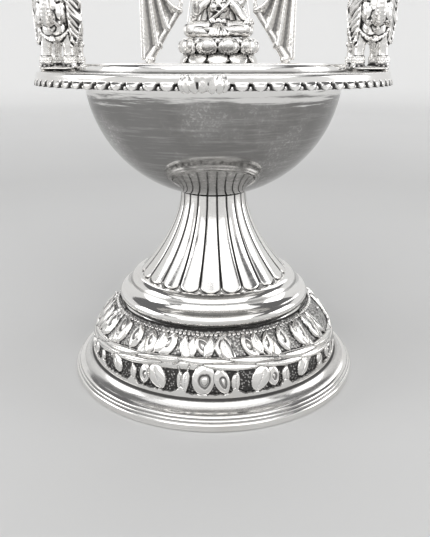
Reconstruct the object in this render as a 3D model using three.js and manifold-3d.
// Silver-finished brass diya: an oil bowl on a fluted pedestal, with two elephants, two pleated side
// wings and a goddess seated on a lotus standing on its rim. Millimetres, +Z up, the front faces -Y,
// and the origin is the centre of the foot on the table.
import * as THREE from "three";
import { mergeVertices } from "three/addons/utils/BufferGeometryUtils.js";
import Module from "manifold-3d";

const wasm = await Module();
wasm.setup();

// Fits
const SEAT_GAP = 0.15; // solder line between stacked faces
const BORE_GAP = 0.3; // radial clearance round studs and screws

// Pedestal base
const BASE_RADIUS = 39.6;
const BASE_HEIGHT = 20.6;
const BASE_WALL = 1.5;
const FOOT_HEIGHT = 2.0;
const FOOT_RING_WIDTH = 2.6;
const STEP_WIDTH = 1.0;
const BAND_RADIUS = 34.9; // foot of the relief band
const BAND_BOTTOM = 5.6;
const BAND_BULGE = 2.1;
const BORDER_SHARE = 0.08; // of the band's height, for the plain border below the relief
const RELIEF_DEPTH = 0.7; // from the ground up to the vine and the leaves
const VINE_WIDTH = 2.4;
const VINE_WAVE = 0.1; // of the band's height; the vine stands highest at the front and the back
const LEAF_PAIRS = 16; // round the base, in a row above the vine and in one below it
const LEAF_LENGTH = 5.2;
const LEAF_WIDTH = 2.7;
const LEAF_LEAN = 24; // degrees, each leaf away from its twin

// Ogee collar
const COLLAR_RADIUS = 26.8;
const COLLAR_HEIGHT = 7.3;
const COLLAR_TOP_RADIUS = 19.9;

// Fluted stem
const STEM_HEIGHT = 21.4;
const STEM_FOOT_RADIUS = 19.3;
const STEM_TOP_RADIUS = 8.8;
const FLUTE_COUNT = 22;
const FLUTE_DEPTH = 0.7;

// Bowl
const BOWL_RADIUS = 32.4;
const BOWL_DEPTH = 31.4; // from the widest level down to the full curve's lowest point
const BOWL_WALL = 1.4;
const BOWL_SEAT_RADIUS = 8.4;
const LIP_HEIGHT = 1.7; // the rolled lip above the rim plate
const LIP_OVERHANG = 0.8;

// Rim plate
const RIM_WIDTH = 11.3; // from the plate's bore to its lobes
const RIM_THICKNESS = 1.6;
const RIM_SKIRT = 3.1;
const SKIRT_WIDTH = 1.8;
const LOBE_COUNT = 78;
const LOBE_DEPTH = 0.55;
const TONGUE_LENGTH = 5.0; // front and rear tongues, beyond the lobes
const SPOUT_WIDTH = 9.0;
const SHELF_WIDTH = 28.0;

// Centre stud and its fasteners
const STUD_RADIUS = 2.5;
const FLANGE_RADIUS = 5.0;
const FLANGE_THICKNESS = 1.2;
const WASHER_RADIUS = 6.0;
const WASHER_THICKNESS = 0.8;
const NUT_ACROSS_FLATS = 8.0;
const NUT_HEIGHT = 3.2;
const STUD_TAIL = 1.5;

// Small studs, nuts and the figure's screw
const PEG_RADIUS = 1.0;
const SMALL_NUT_FLATS = 4.0;
const SMALL_NUT_HEIGHT = 1.5;
const PEG_TAIL = 0.5;
const SCREW_RADIUS = 1.2;
const SCREW_HEAD_RADIUS = 2.4;
const SCREW_HEAD_HEIGHT = 1.4;
const SCREW_GRIP = 2.2; // thread length inside the figure
const SMALL_WASHER_RADIUS = 3.2;
const SMALL_WASHER_THICKNESS = 0.5;

// Figures on the rim
const ELEPHANT_HEIGHT = 24.0; // up to the tip of the raised trunk
const PLINTH_SHARE = 0.84; // of the plate that the bowl's lip leaves free
const PLINTH_LENGTH = 17.0;
const PLINTH_HEIGHT = 1.0;
const WING_HEIGHT = 31.0;
const WING_WIDTH = 11.4;
const WING_THICKNESS = 1.4;
const WING_RIBS = 4;
const WING_SPREAD = 20.3; // sideways distance of each wing's foot from the axis
const WING_FOOT_RADIUS = 2.0;
const LOTUS_WIDTH = 26.6;
const LOTUS_DEPTH = 18.0;
const LOTUS_HEIGHT = 7.0;
const PETAL_COUNT = 12;
const FIGURE_HEIGHT = 23.0; // up to the tip of the crown

// Levels and radii that follow from the sizes above
const collarBottom = BASE_HEIGHT + SEAT_GAP;
const stemBottom = collarBottom + COLLAR_HEIGHT + SEAT_GAP;
const stemTop = stemBottom + STEM_HEIGHT;
const bowlSeat = stemTop + SEAT_GAP;
const seatRise = Math.sqrt(1 - (BOWL_SEAT_RADIUS / BOWL_RADIUS) ** 2);
const rimTop = bowlSeat + BOWL_DEPTH * seatRise;
const lipRadius = BOWL_RADIUS + LIP_OVERHANG;
const rimBore = BOWL_RADIUS + BORE_GAP;
const rimRadius = rimBore + RIM_WIDTH;
const tongueReach = rimRadius + TONGUE_LENGTH;
const rimUnderside = rimTop - RIM_THICKNESS;
const shelfTop = rimTop + LIP_HEIGHT;
const studBore = STUD_RADIUS + BORE_GAP;
const pegBore = PEG_RADIUS + BORE_GAP;
const screwBore = SCREW_RADIUS + BORE_GAP;
const shelfInner = lipRadius + BORE_GAP;
const figureCentre = shelfInner + LOTUS_DEPTH * 0.38;
const pegRing = (rimBore + rimRadius - SKIRT_WIDTH) / 2; // every rim fastener stands on this radius
const plinthWidth = (rimRadius - shelfInner) * PLINTH_SHARE;
const elephantOffset = shelfInner + BORE_GAP + plinthWidth / 2;
const wingDepth = Math.sqrt(pegRing ** 2 - WING_SPREAD ** 2);
const figureSeat = shelfTop + SEAT_GAP + LOTUS_HEIGHT + SEAT_GAP;

const silver = { color: 0xc9c7c3, roughness: 0.22, metalness: 1.0 };
const oxidised = { color: 0xa6a39e, roughness: 0.4, metalness: 1.0 };
const steel = { color: 0x8f8d88, roughness: 0.35, metalness: 1.0 };

// Solids from geometry
function solidFrom(geometry) {
  const flat = geometry.index ? geometry.toNonIndexed() : geometry;
  const bare = new THREE.BufferGeometry();
  bare.setAttribute("position", flat.getAttribute("position"));
  const merged = mergeVertices(bare, 1e-4);
  const corners = merged.index.array;
  const kept = [];
  for (let i = 0; i < corners.length; i += 3) {
    const [a, b, c] = [corners[i], corners[i + 1], corners[i + 2]];
    if (a !== b && b !== c && c !== a) kept.push(a, b, c);
  }
  const build = (triangles) =>
    new wasm.Manifold(
      new wasm.Mesh({
        numProp: 3,
        vertProperties: new Float32Array(merged.attributes.position.array),
        triVerts: new Uint32Array(triangles),
      }),
    );
  const solid = build(kept);
  if (solid.volume() >= 0) return solid;
  return build(kept.reverse());
}

function geometryFrom(solid) {
  const mesh = solid.getMesh();
  const positions = new Float32Array(mesh.numVert * 3);
  for (let i = 0; i < mesh.numVert; i++) {
    positions.set(mesh.vertProperties.subarray(i * mesh.numProp, i * mesh.numProp + 3), i * 3);
  }
  const geometry = new THREE.BufferGeometry();
  geometry.setAttribute("position", new THREE.BufferAttribute(positions, 3));
  geometry.setIndex(new THREE.BufferAttribute(mesh.triVerts, 1));
  geometry.computeVertexNormals();
  return geometry;
}

function joined(solids) {
  return solids.reduce((whole, next) => whole.add(next));
}

// A solid of revolution about +Z from [radius, height] points, closed by itself or by the axis.
function turned(points, segments) {
  const profile = points.map(([radius, height]) => new THREE.Vector2(radius, height));
  const first = profile[0];
  if (first.x > 0) profile.push(first.clone());
  return solidFrom(new THREE.LatheGeometry(profile, segments).rotateX(Math.PI / 2));
}

// A form whose section changes round the axis: sectionAt(angle) gives [radius, height] points that
// close on themselves, round a bore or along the axis.
function ringOf(sectionAt, segments) {
  const positions = [];
  const indices = [];
  const count = sectionAt(0).length;
  for (let i = 0; i < segments; i++) {
    const angle = (2 * Math.PI * i) / segments;
    for (const [radius, height] of sectionAt(angle)) {
      positions.push(radius * Math.cos(angle), radius * Math.sin(angle), height);
    }
  }
  for (let i = 0; i < segments; i++) {
    const next = ((i + 1) % segments) * count;
    for (let j = 0; j < count; j++) {
      const k = (j + 1) % count;
      const [a, b, c, d] = [i * count + j, next + j, next + k, i * count + k];
      indices.push(a, b, c, a, c, d);
    }
  }
  const geometry = new THREE.BufferGeometry();
  geometry.setAttribute("position", new THREE.Float32BufferAttribute(positions, 3));
  geometry.setIndex(indices);
  return solidFrom(geometry);
}

// Points on the circular arc from one [radius, height] point to another, bulging to its right.
function arc([r0, z0], [r1, z1], bulge, steps) {
  const points = [];
  const length = Math.hypot(r1 - r0, z1 - z0);
  const [nr, nz] = [(z1 - z0) / length, -(r1 - r0) / length];
  for (let i = 0; i <= steps; i++) {
    const t = i / steps;
    const out = 4 * bulge * t * (1 - t);
    points.push([r0 + (r1 - r0) * t + nr * out, z0 + (z1 - z0) * t + nz * out]);
  }
  return points;
}

function ellipsoid([x, y, z], [rx, ry, rz], around = 12, up = 8) {
  const ball = new THREE.SphereGeometry(1, around, up).rotateX(Math.PI / 2);
  return solidFrom(ball.scale(rx, ry, rz).translate(x, y, z));
}

// A round limb through stations [x, y, z, radius], with domed ends.
function limb(stations, sides = 8) {
  const centres = stations.map(([x, y, z]) => new THREE.Vector3(x, y, z));
  const last = centres.length - 1;
  const whole = centres[last].clone().sub(centres[0]);
  const across = Math.abs(whole.x) < whole.length() * 0.7 ? [1, 0, 0] : [0, 1, 0];
  const rings = [];
  centres.forEach((centre, i) => {
    const ahead = centres[Math.min(i + 1, last)];
    const behind = centres[Math.max(i - 1, 0)];
    const way = ahead.clone().sub(behind).normalize();
    const first = new THREE.Vector3(...across).cross(way).normalize();
    rings.push({ centre, way, first, second: way.clone().cross(first), radius: stations[i][3] });
  });
  const [start, end] = [rings[0], rings[last]];
  const dome = (ring, sign, share, shrink) => ({
    ...ring,
    centre: ring.centre.clone().addScaledVector(ring.way, sign * share * ring.radius),
    radius: ring.radius * shrink,
  });
  const loops = [dome(start, -1, 0.6, 0.75), ...rings, dome(end, 1, 0.6, 0.75)];
  const positions = loops.flatMap((ring) =>
    Array.from({ length: sides }, (_, i) => {
      const angle = (2 * Math.PI * i) / sides;
      const point = ring.centre.clone();
      point.addScaledVector(ring.first, ring.radius * Math.cos(angle));
      point.addScaledVector(ring.second, ring.radius * Math.sin(angle));
      return point.toArray();
    }).flat(),
  );
  const poles = [dome(start, -1, 1, 0), dome(end, 1, 1, 0)];
  poles.forEach((pole) => positions.push(...pole.centre.toArray()));
  const [low, high] = [loops.length * sides, loops.length * sides + 1];
  const indices = [];
  const lastLoop = (loops.length - 1) * sides;
  for (let i = 0; i < sides; i++) {
    const next = (i + 1) % sides;
    indices.push(low, next, i, high, lastLoop + i, lastLoop + next);
    for (let k = 0; k < lastLoop; k += sides) {
      indices.push(k + i, k + next, k + sides + next, k + i, k + sides + next, k + sides + i);
    }
  }
  const geometry = new THREE.BufferGeometry();
  geometry.setAttribute("position", new THREE.Float32BufferAttribute(positions, 3));
  geometry.setIndex(indices);
  return solidFrom(geometry);
}

function mirrored(make) {
  return [-1, 1].map((side) => make(side));
}

// A flat slab on the plane z = bottom, from a THREE.Shape.
function slab(shape, bottom, thickness, curveSegments = 6) {
  const options = { depth: thickness, bevelEnabled: false, curveSegments };
  return solidFrom(new THREE.ExtrudeGeometry(shape, options).translate(0, 0, bottom));
}

function roundedRectangle(width, depth, corner) {
  const [w, d, c] = [width / 2, depth / 2, Math.min(corner, width / 2.1, depth / 2.1)];
  const shape = new THREE.Shape();
  shape.moveTo(-w + c, -d);
  shape.lineTo(w - c, -d);
  shape.absarc(w - c, -d + c, c, -Math.PI / 2, 0);
  shape.lineTo(w, d - c);
  shape.absarc(w - c, d - c, c, 0, Math.PI / 2);
  shape.lineTo(-w + c, d);
  shape.absarc(-w + c, d - c, c, Math.PI / 2, Math.PI);
  shape.lineTo(-w, -d + c);
  shape.absarc(-w + c, -d + c, c, Math.PI, 1.5 * Math.PI);
  return shape;
}

function post(radius, bottom, top, segments = 16) {
  return turned(
    [
      [0, bottom],
      [radius, bottom],
      [radius, top],
      [0, top],
    ],
    segments,
  );
}

function washer(bore, radius, bottom, thickness) {
  const top = bottom + thickness;
  return turned(
    [
      [bore, bottom],
      [radius, bottom],
      [radius, top],
      [bore, top],
    ],
    16,
  );
}

function hexNut(bore, acrossFlats, bottom, height) {
  const shape = new THREE.Shape();
  const corner = acrossFlats / Math.sqrt(3);
  for (let i = 0; i <= 6; i++) {
    const angle = (Math.PI / 3) * i;
    const [x, y] = [corner * Math.cos(angle), corner * Math.sin(angle)];
    if (i === 0) shape.moveTo(x, y);
    else shape.lineTo(x, y);
  }
  const hole = new THREE.Path();
  hole.absarc(0, 0, bore, 0, 2 * Math.PI, true);
  shape.holes.push(hole);
  return slab(shape, bottom, height, 6);
}

// A place on the relief band, depth below its crests: share is 0 at the band's foot and 1 at its top.
function bandPoint(share, depth) {
  const [footRadius, footHeight] = [BAND_RADIUS - 0.3, BAND_BOTTOM + 0.4];
  const [run, rise] = [COLLAR_RADIUS - 0.4 - footRadius, BASE_HEIGHT - footHeight];
  const swell = (4 * BAND_BULGE) / Math.hypot(run, rise);
  const out = swell * share * (1 - share);
  const bend = swell * (1 - 2 * share);
  const tangent = new THREE.Vector2(run + rise * bend, rise - run * bend).normalize();
  return {
    radius: footRadius + run * share + rise * out - tangent.y * depth,
    height: footHeight + rise * share - run * out + tangent.x * depth,
    tangent,
  };
}

function bandLeaf(angle, share, lean) {
  const { radius, height, tangent } = bandPoint(share, RELIEF_DEPTH);
  const slope = (Math.atan2(-tangent.x, tangent.y) * 180) / Math.PI;
  return ellipsoid([0, 0, 0], [RELIEF_DEPTH, LEAF_WIDTH / 2, LEAF_LENGTH / 2], 6, 4)
    .rotate([lean, 0, 0])
    .rotate([0, -slope, 0])
    .translate([radius, 0, height])
    .rotate([0, 0, angle]);
}

// The vine that runs round the band, and its pairs of leaves that lean apart.
function reliefForms() {
  const vineMiddle = 0.41;
  const upperRow = 0.73;
  const lowerRow = 0.22;
  const twinShare = 0.24; // of the pitch, from the middle of a pair to each leaf
  const sides = 5;
  const vineSection = (angle) => {
    const share = vineMiddle - VINE_WAVE * Math.cos(2 * angle);
    const { radius, height, tangent } = bandPoint(share, RELIEF_DEPTH);
    const section = [];
    for (let i = 0; i < sides; i++) {
      const around = (2 * Math.PI * i) / sides;
      const across = (Math.sin(around) * VINE_WIDTH) / 2;
      const out = Math.cos(around) * RELIEF_DEPTH;
      section.push([
        radius + tangent.x * across + tangent.y * out,
        height + tangent.y * across - tangent.x * out,
      ]);
    }
    return section;
  };
  const forms = [ringOf(vineSection, LEAF_PAIRS * 3)];
  const step = 360 / LEAF_PAIRS;
  for (let i = 0; i < LEAF_PAIRS; i++) {
    for (const side of [-1, 1]) {
      const angle = (i + side * twinShare) * step - 90;
      forms.push(bandLeaf(angle, upperRow, -side * LEAF_LEAN));
      forms.push(bandLeaf(angle, lowerRow, side * LEAF_LEAN));
    }
  }
  return joined(forms);
}

// Pedestal base: a spun shell with a stepped foot, a cove, a plain border and the bulging relief band.
function pedestalBase() {
  const onBand = (share, depth) => {
    const { radius, height } = bandPoint(share, depth);
    return [radius, height];
  };
  const bandSteps = 5;
  const groundTop = 0.97;
  const ground = [];
  for (let i = 0; i <= bandSteps; i++) {
    const share = BORDER_SHARE + ((groundTop - BORDER_SHARE) * i) / bandSteps;
    ground.push(onBand(share, RELIEF_DEPTH));
  }
  const coveTop = [BAND_RADIUS, BAND_BOTTOM];
  const coveFoot = [BASE_RADIUS - 2 * STEP_WIDTH, FOOT_HEIGHT + 2 * STEP_WIDTH];
  const coveDepth = 0.45;
  const outer = [
    [BASE_RADIUS, 0],
    [BASE_RADIUS, FOOT_HEIGHT],
    [BASE_RADIUS - STEP_WIDTH * 0.8, FOOT_HEIGHT + STEP_WIDTH * 0.6],
    [BASE_RADIUS - STEP_WIDTH, FOOT_HEIGHT + STEP_WIDTH * 1.4],
    ...arc(coveFoot, coveTop, -coveDepth, 3),
    onBand(0, 0),
    onBand(BORDER_SHARE, 0),
    ...ground,
    onBand(1, 0),
  ];
  const wall = BASE_WALL + RELIEF_DEPTH;
  const innerTop = BASE_HEIGHT - BASE_WALL;
  const innerShoulder = [COLLAR_RADIUS - wall, innerTop];
  const innerFoot = [BASE_RADIUS - FOOT_RING_WIDTH, 0];
  const inner = [
    [studBore, BASE_HEIGHT],
    [studBore, innerTop],
    ...arc(innerShoulder, [BAND_RADIUS - wall, BAND_BOTTOM], -BAND_BULGE, 4),
    [innerFoot[0], FOOT_HEIGHT],
    innerFoot,
  ];
  return turned([...outer, ...inner], 40).add(reliefForms());
}

// Ogee collar: a rounded torus that sweeps in to the foot of the stem.
function ogeeCollar() {
  const top = collarBottom + COLLAR_HEIGHT;
  const torusTop = [COLLAR_RADIUS - 0.6, collarBottom + COLLAR_HEIGHT * 0.26];
  const neck = [COLLAR_TOP_RADIUS + 0.5, top - COLLAR_HEIGHT * 0.13];
  return turned(
    [
      [studBore, collarBottom],
      ...arc([COLLAR_RADIUS - 0.7, collarBottom], torusTop, 0.55, 3),
      ...arc(torusTop, neck, 0.35, 3).slice(1),
      [COLLAR_TOP_RADIUS - 0.3, neck[1] + 0.25],
      [COLLAR_TOP_RADIUS, top],
      [studBore, top],
    ],
    40,
  );
}

// Fluted stem: a trumpet whose convex flutes end in round tips above a plain foot.
function stemRadius(t) {
  const flare = Math.pow(1 - t, 1.75);
  return STEM_TOP_RADIUS + (STEM_FOOT_RADIUS - STEM_TOP_RADIUS) * flare;
}

function flutedStem() {
  const sides = 3;
  const steps = 6;
  const recessRadius = FLANGE_RADIUS + BORE_GAP;
  const recessFloor = stemTop - FLANGE_THICKNESS - BORE_GAP;
  const sectionAt = (angle) => {
    const valley = 1 - Math.abs(Math.cos((FLUTE_COUNT * angle) / 2));
    const outer = [];
    for (let i = 0; i <= steps; i++) {
      const t = i / steps;
      const radius = stemRadius(t);
      const depth = i === 0 ? 0 : FLUTE_DEPTH * Math.sqrt(radius / STEM_FOOT_RADIUS);
      outer.push([radius - depth * valley, stemBottom + STEM_HEIGHT * t]);
    }
    return [
      [studBore, stemBottom],
      ...outer,
      [recessRadius, stemTop],
      [recessRadius, recessFloor],
      [studBore, recessFloor],
    ];
  };
  return ringOf(sectionAt, FLUTE_COUNT * sides);
}

// Bowl: a deep half-ellipsoid shell with a flat seat below and a rolled lip above the rim plate.
function bowl() {
  const outer = [];
  const inner = [];
  const steps = 7;
  const seatAngle = Math.asin(BOWL_SEAT_RADIUS / BOWL_RADIUS);
  for (let i = 0; i <= steps; i++) {
    const angle = seatAngle + ((Math.PI / 2 - seatAngle) * i) / steps;
    outer.push([BOWL_RADIUS * Math.sin(angle), rimTop - BOWL_DEPTH * Math.cos(angle)]);
  }
  for (let i = steps; i >= 0; i--) {
    const angle = ((Math.PI / 2) * i) / steps;
    const radius = (BOWL_RADIUS - BOWL_WALL) * Math.sin(angle);
    const depth = (BOWL_DEPTH - BOWL_WALL) * seatRise;
    inner.push([i === 0 ? 0 : radius, rimTop - depth * Math.cos(angle)]);
  }
  const lip = arc(
    [lipRadius, rimTop + SEAT_GAP],
    [BOWL_RADIUS - BOWL_WALL, rimTop + SEAT_GAP],
    LIP_HEIGHT - SEAT_GAP,
    4,
  );
  return turned([[0, bowlSeat], ...outer, [BOWL_RADIUS, rimTop + SEAT_GAP], ...lip, ...inner], 40);
}

// Rim plate: a flat ring with a lobed skirt, a wick spout in front and a raised shelf behind.
function rimPlate() {
  const skirtBottom = rimTop - RIM_SKIRT;
  const sectionAt = (angle) => {
    const lobe = Math.abs(Math.sin((LOBE_COUNT * angle) / 2));
    const reach = rimRadius - LOBE_DEPTH * (1 - lobe);
    return [
      [rimBore, rimTop],
      [rimBore, rimUnderside],
      [rimRadius - SKIRT_WIDTH, rimUnderside],
      [rimRadius - SKIRT_WIDTH, skirtBottom + LOBE_DEPTH],
      [reach - LOBE_DEPTH, skirtBottom + LOBE_DEPTH * (1 - lobe)],
      [reach, skirtBottom + RIM_SKIRT * 0.45],
      [rimRadius - LOBE_DEPTH * 0.5, rimTop],
    ];
  };
  const ring = ringOf(sectionAt, LOBE_COUNT * 2);
  const spoutLength = tongueReach - rimRadius + SKIRT_WIDTH;
  const spoutMiddle = tongueReach - spoutLength;
  const spout = ellipsoid(
    [0, -spoutMiddle, rimTop - RIM_SKIRT * 0.55],
    [SPOUT_WIDTH / 2, spoutLength, RIM_SKIRT * 0.72],
    16,
    8,
  );
  const grooveHeight = RIM_SKIRT * 0.3;
  const groove = ellipsoid(
    [0, -spoutMiddle, rimTop + grooveHeight / 2],
    [SPOUT_WIDTH * 0.2, spoutLength * 1.1, grooveHeight],
    10,
    6,
  );
  const shelf = new THREE.Shape();
  shelf.absellipse(0, figureCentre, SHELF_WIDTH / 2, tongueReach - figureCentre, 0, 2 * Math.PI);
  const shelfSolid = slab(shelf, rimUnderside, shelfTop - rimUnderside, 14);
  const lipClearance = post(shelfInner, rimTop, shelfTop + 1, 48);
  const boreClearance = post(rimBore, rimUnderside - 1, rimTop + 1, 48);
  const pegHoles = rimFasteners.map(([x, y, radius]) =>
    post(radius, rimUnderside - 1, shelfTop + 1, 12).translate([x, y, 0]),
  );
  return joined([ring, spout, shelfSolid.subtract(lipClearance).subtract(boreClearance)])
    .subtract(groove)
    .subtract(joined(pegHoles));
}

// Where each figure is fastened through the plate: x, y and bore radius.
const rimFasteners = [
  [-pegRing, 0, pegBore],
  [pegRing, 0, pegBore],
  [-WING_SPREAD, wingDepth, pegBore],
  [WING_SPREAD, wingDepth, pegBore],
  [0, pegRing, screwBore],
];

// A peg below a figure that stands on the plate, long enough for its nut.
function pegBelow(x, y) {
  const length = SEAT_GAP + RIM_THICKNESS + SEAT_GAP + SMALL_NUT_HEIGHT + PEG_TAIL;
  return post(PEG_RADIUS, -length, PLINTH_HEIGHT / 2, 10).translate([x, y, 0]);
}

// Elephant, facing -Y, on its own rounded plinth; the form is laid out on a height of 24.
function elephant(side) {
  const u = ELEPHANT_HEIGHT / 24;
  const at = (...lengths) => lengths.map((length) => length * u);
  const plinth = slab(roundedRectangle(plinthWidth, PLINTH_LENGTH, 2), 0, PLINTH_HEIGHT, 3);
  const legs = mirrored((s) => [
    limb([at(2.85 * s, -4.4, 1.7, 1.9), at(2.6 * s, -4.0, 7.0, 1.8)], 7),
    limb([at(2.85 * s, 4.6, 1.7, 1.9), at(2.6 * s, 4.3, 7.5, 2.1)], 7),
  ]).flat();
  const body = ellipsoid(at(0, 0.8, 9.9), at(4.5, 7.2, 5.5), 10, 8);
  const chest = ellipsoid(at(0, -4.2, 9.4), at(3.9, 3.4, 4.8), 8, 6);
  const head = ellipsoid(at(0, -6.6, 13.9), at(3.5, 3.0, 4.6), 10, 8);
  const domes = mirrored((s) => ellipsoid(at(1.5 * s, -6.2, 17.6), at(1.8, 2.0, 1.9), 6, 5));
  const ears = mirrored((s) => ellipsoid(at(4.5 * s, -4.6, 11.6), at(0.75, 2.6, 5.9), 8, 8));
  const trunk = limb(
    [
      at(0, -8.4, 10.6, 1.6),
      at(0, -11.0, 11.4, 1.4),
      at(0, -11.8, 15.4, 1.15),
      at(0, -10.8, 19.4, 0.95),
      at(0, -11.9, 23.2, 0.8),
    ],
    6,
  );
  const tusks = mirrored((s) =>
    limb([at(1.7 * s, -8.4, 10.4, 0.6), at(2.3 * s, -11.4, 9.8, 0.35)], 6),
  );
  const tail = limb([at(0, 7.4, 11.6, 0.6), at(0.3, 8.2, 5.8, 0.5)], 6);
  const peg = pegBelow(side * (pegRing - elephantOffset), 0);
  return joined([plinth, ...legs, body, chest, head, ...domes, ...ears, trunk, ...tusks, tail, peg]);
}

// Side wing: a pleated three-cornered panel whose ribs fan down from the outer top to a slanted rod.
function wing(side) {
  const inward = -side * WING_WIDTH;
  const outer = side * WING_WIDTH * 0.2;
  const foot = new THREE.Vector3(0, 0, WING_HEIGHT * 0.08);
  const corner = new THREE.Vector3(inward * 0.8, 0, WING_HEIGHT * 0.6);
  const apex = new THREE.Vector3(outer * 0.9, 0, WING_HEIGHT);
  const radius = WING_THICKNESS / 2;
  const station = (point, size) => [point.x, point.y, point.z, size];
  const outline = new THREE.Shape([
    new THREE.Vector2(outer * 0.6, foot.z),
    new THREE.Vector2(foot.x + inward * 0.12, foot.z),
    new THREE.Vector2(corner.x, corner.z),
    new THREE.Vector2(apex.x, apex.z),
  ]);
  const sheetOptions = { depth: radius, bevelEnabled: false };
  const sheet = new THREE.ExtrudeGeometry(outline, sheetOptions);
  const panel = solidFrom(sheet.rotateX(Math.PI / 2).translate(0, radius / 2, 0));
  const ribs = [];
  for (let i = 0; i < WING_RIBS; i++) {
    const end = foot.clone().lerp(corner, i / (WING_RIBS - 1));
    if (i === 0) end.x = outer * 0.6;
    ribs.push(limb([station(end, radius * 1.25), station(apex, radius * 0.7)], 5));
  }
  const rod = limb([station(foot, radius * 1.7), station(corner, radius * 1.1)], 6);
  const base = turned(
    [
      [0, 0],
      [WING_FOOT_RADIUS, 0],
      [WING_FOOT_RADIUS * 0.9, WING_HEIGHT * 0.02],
      [WING_FOOT_RADIUS * 0.55, WING_HEIGHT * 0.05],
      [WING_FOOT_RADIUS * 0.75, WING_HEIGHT * 0.09],
      [0, WING_HEIGHT * 0.1],
    ],
    12,
  );
  return joined([panel, ...ribs, rod, base, pegBelow(0, 0)]);
}

// Lotus seat: an oval block with a row of round petals above a row of drooping ones, half a petal on.
function lotusSeat() {
  const [a, b, h] = [LOTUS_WIDTH / 2, LOTUS_DEPTH / 2, LOTUS_HEIGHT];
  const squash = b / a;
  const rows = [
    { share: 0.78, level: 0, dip: 0.06, turn: 0.5 },
    { share: 0.88, level: 0.1, dip: 0.1, turn: 0.5 },
    { share: 0.84, level: 0.24, dip: 0.1, turn: 0.5 },
    { share: 0.68, level: 0.34, dip: 0.02, turn: 0 },
    { share: 0.86, level: 0.5, dip: 0.1, turn: 0 },
    { share: 1.0, level: 0.74, dip: 0.14, turn: 0 },
    { share: 0.98, level: 0.92, dip: 0.16, turn: 0 },
    { share: 0.82, level: 1, dip: 0.06, turn: 0 },
  ];
  const sectionAt = (angle) => [
    [0, 0],
    ...rows.map(({ share, level, dip, turn }) => {
      const petal = Math.abs(Math.cos((PETAL_COUNT * angle) / 2 + turn * Math.PI));
      return [a * (share - dip * (1 - petal)), h * level];
    }),
    [0, h],
  ];
  const block = ringOf(sectionAt, PETAL_COUNT * 4).scale([1, squash, 1]);
  const bore = post(screwBore, -1, h + 1, 12).translate([0, pegRing - figureCentre, 0]);
  return block.subtract(bore);
}

// Seated goddess, facing -Y, legs crossed and four-armed; the form is laid out on a height of 23.
function goddess() {
  const u = FIGURE_HEIGHT / 23;
  const at = (...lengths) => lengths.map((length) => length * u);
  const hips = ellipsoid(at(0, 0.7, 2.6), at(4.9, 3.9, 3.0), 10, 6);
  const lap = ellipsoid(at(0, -2.6, 1.3), at(5.6, 3.1, 2.2), 10, 6);
  const waist = ellipsoid(at(0, 0.8, 5.6), at(2.8, 2.2, 2.8), 8, 6);
  const chest = ellipsoid(at(0, 0.7, 8.9), at(3.5, 2.4, 2.9), 10, 6);
  const breasts = mirrored((s) => ellipsoid(at(1.5 * s, -1.2, 8.7), at(1.35, 1.3, 1.35), 6, 5));
  const neck = limb([at(0, 0.4, 10.8, 1.15), at(0, 0.2, 13.0, 1.05)], 8);
  const head = ellipsoid(at(0, -0.1, 14.6), at(1.95, 2.15, 2.4), 10, 8);
  const crown = turned(
    [at(0, 15.8), at(2.1, 15.8), at(2.3, 16.9), at(1.7, 17.6), at(1.8, 19.2), at(1.0, 20.8), at(0.7, 21.9), at(0, 23)],
    10,
  ).translate(at(0, 0.1, 0));
  const thighs = mirrored((s) => limb([at(2.8 * s, -0.2, 2.2, 2.2), at(9.2 * s, -2.2, 1.9, 1.75)], 8));
  const shins = mirrored((s) =>
    limb([at(9.2 * s, -2.6, 1.8, 1.6), at(-2.4 * s, -4.6, 1.4 + 0.4 * s, 1.1)], 8),
  );
  const raised = limb(
    [at(-3.6, 0.5, 10.6, 1.15), at(-6.8, -0.2, 7.2, 1.4), at(-7.2, -2.6, 10.6, 0.85), at(-7.2, -3.0, 12.4, 1.05)],
    6,
  );
  const lowered = limb(
    [at(3.6, 0.5, 10.6, 1.15), at(6.6, -0.2, 6.9, 1.1), at(8.8, -2.4, 4.8, 0.85), at(9.3, -3.2, 3.8, 1.4)],
    6,
  );
  const rear = mirrored((s) =>
    limb([at(3.7 * s, 1.4, 10.6, 1.1), at(7.4 * s, 2.0, 10.2, 0.95), at(8.0 * s, 1.4, 14.0, 0.8)], 6),
  );
  const buds = mirrored((s) => ellipsoid(at(8.0 * s, 1.2, 15.6), at(1.4, 1.4, 1.9), 6, 5));
  const trunkParts = [hips, lap, waist, chest, ...breasts, neck, head, crown];
  const limbs = [...thighs, ...shins, raised, lowered, ...rear, ...buds];
  const body = joined([...trunkParts, ...limbs]);
  const reach = FIGURE_HEIGHT * 2;
  const aboveSeat = post(reach, 0, reach, 8);
  const bore = post(screwBore, -1, SCREW_GRIP, 12).translate([0, pegRing - figureCentre, 0]);
  return body.intersect(aboveSeat).subtract(bore);
}

// Centre stud: brazed under the bowl, it runs down through stem and collar into the base.
const studNutTop = BASE_HEIGHT - BASE_WALL - SEAT_GAP - WASHER_THICKNESS - SEAT_GAP;

function bowlStud() {
  const top = stemTop;
  const shoulder = stemTop - FLANGE_THICKNESS;
  const bottom = studNutTop - NUT_HEIGHT - STUD_TAIL;
  return turned(
    [
      [0, bottom],
      [STUD_RADIUS * 0.8, bottom],
      [STUD_RADIUS, bottom + STUD_RADIUS * 0.3],
      [STUD_RADIUS, shoulder],
      [FLANGE_RADIUS, shoulder],
      [FLANGE_RADIUS, top],
      [0, top],
    ],
    20,
  );
}

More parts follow.
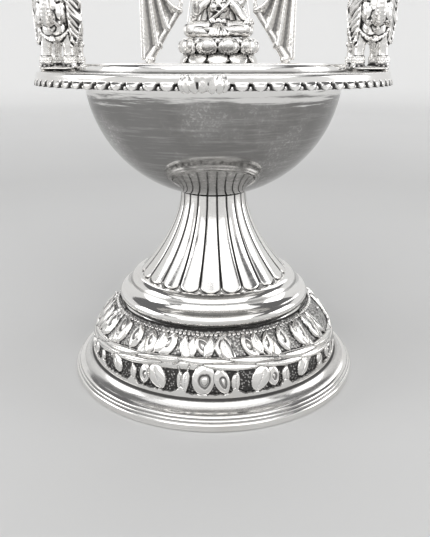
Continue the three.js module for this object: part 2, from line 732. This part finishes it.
// Figure screw: up through the plate and the lotus into the seated figure.
function figureScrew() {
  const seat = rimUnderside - SEAT_GAP - SMALL_WASHER_THICKNESS - SEAT_GAP;
  const tip = figureSeat + SCREW_GRIP - BORE_GAP;
  return turned(
    [
      [0, seat - SCREW_HEAD_HEIGHT],
      [SCREW_HEAD_RADIUS * 0.8, seat - SCREW_HEAD_HEIGHT],
      [SCREW_HEAD_RADIUS, seat - SCREW_HEAD_HEIGHT * 0.6],
      [SCREW_HEAD_RADIUS, seat],
      [SCREW_RADIUS, seat],
      [SCREW_RADIUS, tip],
      [0, tip],
    ],
    16,
  );
}

// The assembly
const diya = new THREE.Group();

function place(name, solid, finish, position = [0, 0, 0]) {
  const mesh = new THREE.Mesh(geometryFrom(solid), new THREE.MeshStandardMaterial(finish));
  mesh.name = name;
  mesh.position.set(...position);
  diya.add(mesh);
}

place("pedestal_base", pedestalBase(), oxidised);
place("ogee_collar", ogeeCollar(), silver);
place("fluted_stem", flutedStem(), silver);
place("bowl", bowl(), silver);
place("rim_plate", rimPlate(), silver);

place("bowl_stud", bowlStud(), steel);
const washerLevel = BASE_HEIGHT - BASE_WALL - SEAT_GAP - WASHER_THICKNESS;
place("base_washer", washer(studBore, WASHER_RADIUS, 0, WASHER_THICKNESS), steel, [0, 0, washerLevel]);
place("base_nut", hexNut(studBore, NUT_ACROSS_FLATS, 0, NUT_HEIGHT), steel, [
  0,
  0,
  studNutTop - NUT_HEIGHT,
]);

const standLevel = rimTop + SEAT_GAP;
const smallNutLevel = rimUnderside - SEAT_GAP - SMALL_NUT_HEIGHT;
for (const [side, word] of [
  [-1, "left"],
  [1, "right"],
]) {
  place("elephant_" + word, elephant(side), silver, [side * elephantOffset, 0, standLevel]);
  place("wing_" + word, wing(side), silver, [side * WING_SPREAD, wingDepth, standLevel]);
  const nut = hexNut(pegBore, SMALL_NUT_FLATS, 0, SMALL_NUT_HEIGHT);
  place("elephant_nut_" + word, nut, steel, [side * pegRing, 0, smallNutLevel]);
  place("wing_nut_" + word, nut, steel, [side * WING_SPREAD, wingDepth, smallNutLevel]);
}

place("lotus_seat", lotusSeat(), silver, [0, figureCentre, shelfTop + SEAT_GAP]);
place("goddess_figure", goddess(), silver, [0, figureCentre, figureSeat]);
place("figure_screw", figureScrew(), steel, [0, pegRing, 0]);
const smallWasherLevel = rimUnderside - SEAT_GAP - SMALL_WASHER_THICKNESS;
place("figure_washer", washer(screwBore, SMALL_WASHER_RADIUS, 0, SMALL_WASHER_THICKNESS), steel, [
  0,
  pegRing,
  smallWasherLevel,
]);

export default diya;
